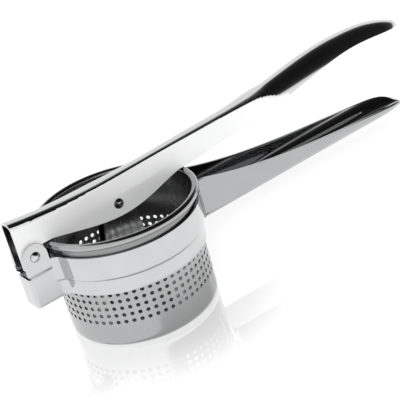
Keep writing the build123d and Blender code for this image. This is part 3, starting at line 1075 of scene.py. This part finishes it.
def wing_path(sizes):
    """Plan of a wing from the end of the trough's wall: the fold outwards and the stretch on the collar."""
    fold_y = sizes.half_width + sizes.wing_fold
    fold_x = math.sqrt((sizes.wing_radius + sizes.wing_fold) ** 2 - fold_y**2)
    lean = math.atan2(fold_y, fold_x)
    path = arc((fold_x, fold_y), sizes.wing_fold, -QUARTER, lean - math.pi, steps=12)
    reach = math.asin((fold_y + sizes.wing_reach) / sizes.wing_radius)
    return path + arc((0, 0), sizes.wing_radius, lean, reach, steps=10)[1:]


def wing_sheet(sizes, side, rows, name):
    """One wing, cut off along a diagonal from the fold's foot up to its far corner."""
    path = wing_path(sizes)
    fold_y = sizes.half_width + sizes.wing_fold
    start = math.sqrt(sizes.wing_radius**2 - fold_y**2)
    end = path[-1][0]
    tip_height = 0.5 * MM
    sections = []
    for x, y in path:
        climb = clamp((start - x) / (start - end))
        low = rows[0] + (sizes.wall_top - tip_height - rows[0]) * climb
        squeeze = (sizes.wall_top - low) / (sizes.wall_top - rows[0])
        sections.append([(x, side * y, low + (z - rows[0]) * squeeze) for z in rows])
    return loft(name, sections)


def make_lower_handle():
    """The lower handle: a trough drawn from the collar to its scooped tip, with two wings."""
    sizes = bpy.context.scene.ricer_lower
    edge = lower_edge(sizes)
    tip = LOWER_BOX[1].x
    straight_run = 14 * MM
    tip_closing = (0.5, 0.95)
    fold_x = wing_path(sizes)[0][0]
    root = lower_section(sizes, fold_x, sizes.wall_top)
    straight = fold_x + straight_run
    wall_foot = sizes.root_bottom + sizes.root_corner
    sections = []
    for part in even(0.0, 1.0, steps=8):
        section = []
        for y, z in root:
            saddle = math.sqrt(sizes.saddle_radius**2 - y**2)
            start = saddle + (fold_x - saddle) * ease(z, sizes.root_bottom, wall_foot)
            x = start + (straight - start) * part
            climb = max((z - wall_foot) / (sizes.wall_top - wall_foot), 0.0)
            section.append((x, y, z - (sizes.wall_top - edge(x)) * climb))
        sections.append(section)
    places = even(straight, sizes.grip_x, steps=50)[1:]
    places += closing_in(sizes.grip_x, tip - sizes.grip_x, steps=28)
    for x in places:
        sections.append([(x, y, z) for y, z in lower_section(sizes, x, edge(x))])
    last = sections[-1]
    for part in tip_closing:
        sections.append([(tip, y, z + (edge(tip) - z) * part) for _, y, z in last])
    trough = loft("trough_handle", sections)
    rows = [z for y, z in root if y >= sizes.half_width - WELD and z >= wall_foot]
    wings = [wing_sheet(sizes, -1, rows, "wing_near"), wing_sheet(sizes, 1, rows, "wing_far")]
    join(trough, *wings)
    weld(trough)
    face_away(trough, (sizes.grip_x / 2, 0, sizes.wall_top))
    thicken(trough, sizes.sheet)
    round_edges(trough, sizes.edge_round)
    smooth(trough)
    settle(trough, finish("handle_steel"), "frame", "handle_steel", "lower_handle")


# Rivets

def make_rivet(name, pin, grip, bright, body, node):
    """One rivet with a domed head at both ends, turned about its own line."""
    sizes = bpy.context.scene.ricer_rivets
    dome = (sizes.head_height**2 + sizes.head**2) / (2 * sizes.head_height)
    spread = math.asin(sizes.head / dome)
    end = grip + sizes.head_height
    head = [(dome * math.sin(turn), end - dome * (1 - math.cos(turn))) for turn in even(0.0, spread, steps=8)]
    half = head + [(sizes.shank, grip), (sizes.shank, 0.0)]
    profile = half + [(r, -y) for r, y in reversed(half[:-1])]
    rivet = chain(name, [(pin.x + r, y, pin.z) for r, y in profile])
    spin(rivet, pin, ACROSS, RIVET_STEPS)
    smooth(rivet)
    settle(rivet, finish("rivet_steel"), body, "rivet_steel", node)
    # Painted reflection: the outer rim of each head takes the dark colour
    rivet.data.materials.append(finish("rivet_rim_steel"))
    for face in rivet.data.polygons:
        place = face.center
        if math.hypot(place.x - pin.x, place.z - pin.z) > bright * sizes.head:
            face.material_index = 1


# Plunger

def make_disc():
    """The plunger's disc with its turned-up lip."""
    sizes = bpy.context.scene.ricer_disc
    low, high = DISC_BOX
    centre = (low + high) / 2
    radius = (high.x - low.x) / 2
    inner = radius - sizes.sheet
    floor = low.z + sizes.sheet
    profile = [(0.0, low.z)]
    profile += arc((radius - sizes.sheet, floor), sizes.sheet, -QUARTER, 0.0, steps=6)
    lip = (radius - sizes.lip_round, high.z - sizes.lip_round)
    profile += arc(lip, sizes.lip_round, 0.0, math.pi, steps=8)
    profile += arc((inner - sizes.sheet, floor + sizes.sheet), sizes.sheet, 0.0, -QUARTER, steps=6)
    profile += [(0.0, floor)]
    disc = chain("press_plate", [(centre.x + r, 0.0, z) for r, z in profile])
    spin(disc, (centre.x, 0, 0), UPRIGHT, DISC_STEPS)
    smooth(disc)
    settle(disc, finish("plunger_steel"), "plunger", "plunger_steel", "plunger_disc")


def dress_nodes(material, *names):
    """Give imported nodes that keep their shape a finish."""
    for name in names:
        node = frame["nodes"][name]
        node.data.materials.clear()
        node.data.materials.append(material)


# Studio

# Width of the camera's sensor in millimetres
SENSOR = 36.0

# Where the lamp stands and what it looks at
LAMP_PLACE = (-0.62, -0.8, 0.72)
LAMP_AIM = Vector((0.03, 0.0, 0.05))

# The floor's paint, how bright it glows to look white, the share of that glow and the roughness of its gloss
FLOOR_PAINT = (0.9, 0.9, 0.9, 1.0)
FLOOR_GLOW = 1.3
FLOOR_GLOW_SHARE = 0.66
FLOOR_ROUGHNESS = 0.04

# Brightness of the backdrop from its middle to its rim, as shares of its radius
BACKDROP_TONES = ((0.0, 0.01), (0.5, 0.02), (0.75, 0.06), (0.92, 0.2), (1.0, 0.6))


def place_camera(studio):
    """The camera, turned by its azimuth, elevation and roll."""
    azimuth = math.radians(studio.azimuth)
    elevation = math.radians(studio.elevation)
    roll = math.radians(studio.roll)
    right = Vector((math.cos(azimuth), math.sin(azimuth), 0))
    back = Vector(
        (
            math.sin(azimuth) * math.cos(elevation),
            -math.cos(azimuth) * math.cos(elevation),
            math.sin(elevation),
        )
    )
    up = back.cross(right)
    picture_right = right * math.cos(roll) - up * math.sin(roll)
    picture_up = right * math.sin(roll) + up * math.cos(roll)
    bpy.ops.object.camera_add()
    camera = bpy.context.active_object
    camera.name = "photo_camera"
    camera.data.sensor_width = SENSOR
    camera.data.lens = studio.lens
    camera.data.clip_start = 0.01
    camera.data.clip_end = 20.0
    turned = Matrix((picture_right, picture_up, back)).transposed()
    camera.matrix_world = Matrix.Translation(studio.camera_place) @ turned.to_4x4()
    bpy.context.scene.camera = camera


def seen_directly(tree):
    """1 for what the camera, a mirror or clear glass looks at, and 0 for light on surfaces."""
    node = tree.nodes.new("ShaderNodeLightPath")
    shown = node.outputs["Is Camera Ray"]
    for ray in ("Is Glossy Ray", "Is Transmission Ray"):
        shown = add_node(tree, "Math", "Value", {0: shown, 1: node.outputs[ray]}, operation="MAXIMUM")
    return shown


def add_mix(tree, part, first, second):
    """The shader between two shaders."""
    return add_node(tree, "MixShader", "Shader", {"Fac": part, 1: first, 2: second})


def add_distance(tree):
    """The distance from the object's own middle."""
    return add_node(tree, "VectorMath", "Value", {0: add_place(tree)}, operation="LENGTH")


def set_surface(tree, kind, shader):
    """Show a shader on the surface."""
    output = tree.nodes.new("ShaderNode" + kind)
    set_inputs(tree, output, {"Surface": shader})


def stage_material(name):
    """A material whose nodes have been cleared."""
    material = bpy.data.materials.new(name)
    material.use_nodes = True
    material.node_tree.nodes.clear()
    return material


def direction(azimuth, elevation):
    """A unit vector from its azimuth and elevation in degrees."""
    turn = math.radians(azimuth)
    rise = math.radians(elevation)
    return math.cos(turn) * math.cos(rise), math.sin(turn) * math.cos(rise), math.sin(rise)


def make_world(studio):
    """A white surround for the camera and for polished steel, and soft light on other surfaces."""
    world = bpy.data.worlds.new("studio_world")
    bpy.context.scene.world = world
    world.use_nodes = True
    tree = world.node_tree
    tree.nodes.clear()
    light = {"Color": WHITE, "Strength": studio.surround_light}
    lit = add_node(tree, "Background", "Background", light)
    shown = add_node(tree, "Background", "Background", {"Color": WHITE, "Strength": 1.0})
    set_surface(tree, "OutputWorld", add_mix(tree, seen_directly(tree), lit, shown))


def floor_finish(studio):
    """A white floor with the object's shadow and a mirror image that fades away from the cup."""
    material = stage_material("studio_floor")
    tree = material.node_tree
    paint = add_node(tree, "BsdfDiffuse", "BSDF", {"Color": FLOOR_PAINT})
    glow = add_node(tree, "Emission", "Emission", {"Color": WHITE, "Strength": FLOOR_GLOW})
    lit = add_mix(tree, FLOOR_GLOW_SHARE, paint, glow)
    mirror = add_node(tree, "BsdfGlossy", "BSDF", {"Color": WHITE, "Roughness": FLOOR_ROUGHNESS})
    span = {
        "Value": add_distance(tree),
        "From Min": studio.gloss_start,
        "From Max": studio.gloss_end,
        "To Min": studio.floor_gloss,
        "To Max": 0.0,
    }
    fade = add_node(tree, "MapRange", "Result", span, interpolation_type="SMOOTHSTEP")
    shown = add_mix(tree, fade, lit, mirror)
    set_surface(tree, "OutputMaterial", add_mix(tree, seen_directly(tree), paint, shown))
    return material


def backdrop_finish(studio):
    """A dark board that gets paler towards its rim."""
    material = stage_material("studio_backdrop")
    tree = material.node_tree
    span = {"Value": add_distance(tree), "From Max": studio.backdrop_radius}
    outwards = add_node(tree, "MapRange", "Result", span)
    tones = add_ramp(tree, outwards, [(place, (tone, tone, tone, 1.0)) for place, tone in BACKDROP_TONES])
    set_surface(tree, "OutputMaterial", add_node(tree, "Emission", "Emission", {"Color": tones}))
    return material


def make_backdrop(studio):
    """The round dark backdrop over the tool, which the camera doesn't see and polished steel mirrors."""
    towards = Vector(direction(studio.backdrop_azimuth, studio.backdrop_elevation))
    board = circle("studio_backdrop", DISC_STEPS, studio.backdrop_radius, fill="NGON")
    board.location = towards * studio.backdrop_distance
    board.rotation_euler = towards.to_track_quat("Z", "Y").to_euler()
    board.data.materials.append(backdrop_finish(studio))
    board.visible_camera = False
    board.visible_diffuse = False
    board.visible_shadow = False


def make_stage():
    """Floor, white surround, dark backdrop overhead, one soft lamp and the camera."""
    scene = bpy.context.scene
    studio = scene.ricer_studio
    scene.view_settings.view_transform = "Standard"
    bpy.ops.object.select_all(action="DESELECT")
    bpy.ops.mesh.primitive_plane_add(size=studio.floor_size, location=ORIGIN)
    floor = name_piece("studio_floor")
    floor.data.materials.append(floor_finish(studio))
    make_world(studio)
    make_backdrop(studio)
    bpy.ops.object.light_add(type="SUN", location=LAMP_PLACE)
    lamp = bpy.context.active_object
    lamp.name = "soft_lamp"
    lamp.data.angle = math.radians(studio.lamp_spread)
    lamp.data.energy = studio.lamp_power
    lamp.visible_glossy = False
    aim = LAMP_AIM - lamp.location
    lamp.rotation_euler = aim.to_track_quat("-Z", "Y").to_euler()
    place_camera(studio)


class RICER_OT_cup(Operator):
    """Model the pierced cup"""

    bl_idname = "ricer.cup"
    bl_label = "Cup"

    def execute(self, context):
        make_cup()
        return {"FINISHED"}


class RICER_OT_collar(Operator):
    """Model the collar with its tail and ears"""

    bl_idname = "ricer.collar"
    bl_label = "Collar"

    def execute(self, context):
        make_collar()
        return {"FINISHED"}


class RICER_OT_press_handle(Operator):
    """Model the upper handle"""

    bl_idname = "ricer.press_handle"
    bl_label = "Upper handle"

    def execute(self, context):
        make_press_handle()
        return {"FINISHED"}


class RICER_OT_lower_handle(Operator):
    """Model the lower handle and its wings"""

    bl_idname = "ricer.lower_handle"
    bl_label = "Lower handle"

    def execute(self, context):
        make_lower_handle()
        return {"FINISHED"}


class RICER_OT_rivets(Operator):
    """Model the two rivets"""

    bl_idname = "ricer.rivets"
    bl_label = "Rivets"

    def execute(self, context):
        sizes = context.scene.ricer_rivets
        hinge = (HINGE, sizes.hinge_grip, sizes.hinge_bright)
        make_rivet("hinge_pin", *hinge, "frame", "hinge_rivet")
        plunger = (PLUNGER_PIN, sizes.plunger_grip, sizes.plunger_bright)
        make_rivet("plunger_pin", *plunger, "press", "plunger_rivet")
        return {"FINISHED"}


class RICER_OT_plunger(Operator):
    """Model the plunger's disc and finish its bracket"""

    bl_idname = "ricer.plunger"
    bl_label = "Plunger"

    def execute(self, context):
        make_disc()
        dress_nodes(finish("plunger_steel"), "plunger_bracket")
        return {"FINISHED"}


class RICER_OT_bearings(Operator):
    """Finish the bushes and washers"""

    bl_idname = "ricer.bearings"
    bl_label = "Bushes and washers"

    def execute(self, context):
        bearings = ("hinge_bush", "hinge_washers", "plunger_bush", "plunger_washers")
        dress_nodes(finish("bearing_steel"), *bearings)
        return {"FINISHED"}


class RICER_OT_stage(Operator):
    """Set up the floor, the backdrop, the light and the camera"""

    bl_idname = "ricer.stage"
    bl_label = "Studio"

    def execute(self, context):
        make_stage()
        return {"FINISHED"}


OPERATORS = (
    RICER_OT_cup,
    RICER_OT_collar,
    RICER_OT_press_handle,
    RICER_OT_lower_handle,
    RICER_OT_rivets,
    RICER_OT_plunger,
    RICER_OT_bearings,
    RICER_OT_stage,
)


class RICER_PT_panel(Panel):
    """The ricer's pieces, each with its button"""

    bl_idname = "RICER_PT_panel"
    bl_label = "Potato ricer"
    bl_space_type = "VIEW_3D"
    bl_region_type = "UI"
    bl_category = "Ricer"

    def draw(self, context):
        for operator in OPERATORS:
            self.layout.operator(operator.bl_idname)


SETTINGS = {
    "ricer_cup": CupSizes,
    "ricer_collar": CollarSizes,
    "ricer_press": PressSizes,
    "ricer_lower": LowerSizes,
    "ricer_rivets": RivetSizes,
    "ricer_disc": DiscSizes,
    "ricer_steel": SteelLooks,
    "ricer_studio": StudioSettings,
}
CLASSES = (*SETTINGS.values(), *OPERATORS, RICER_PT_panel)


def register():
    """Register the settings, the operators and the panel."""
    for item in CLASSES:
        bpy.utils.register_class(item)
    for name, group in SETTINGS.items():
        setattr(bpy.types.Scene, name, PointerProperty(type=group))


def unregister():
    """Take the settings, the operators and the panel away again."""
    for name in SETTINGS:
        delattr(bpy.types.Scene, name)
    for item in reversed(CLASSES):
        bpy.utils.unregister_class(item)


def main():
    """Register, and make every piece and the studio."""
    register()
    bpy.ops.ricer.cup()
    bpy.ops.ricer.collar()
    bpy.ops.ricer.press_handle()
    bpy.ops.ricer.lower_handle()
    bpy.ops.ricer.rivets()
    bpy.ops.ricer.plunger()
    bpy.ops.ricer.bearings()
    bpy.ops.ricer.stage()


if __name__ == "__main__":
    main()
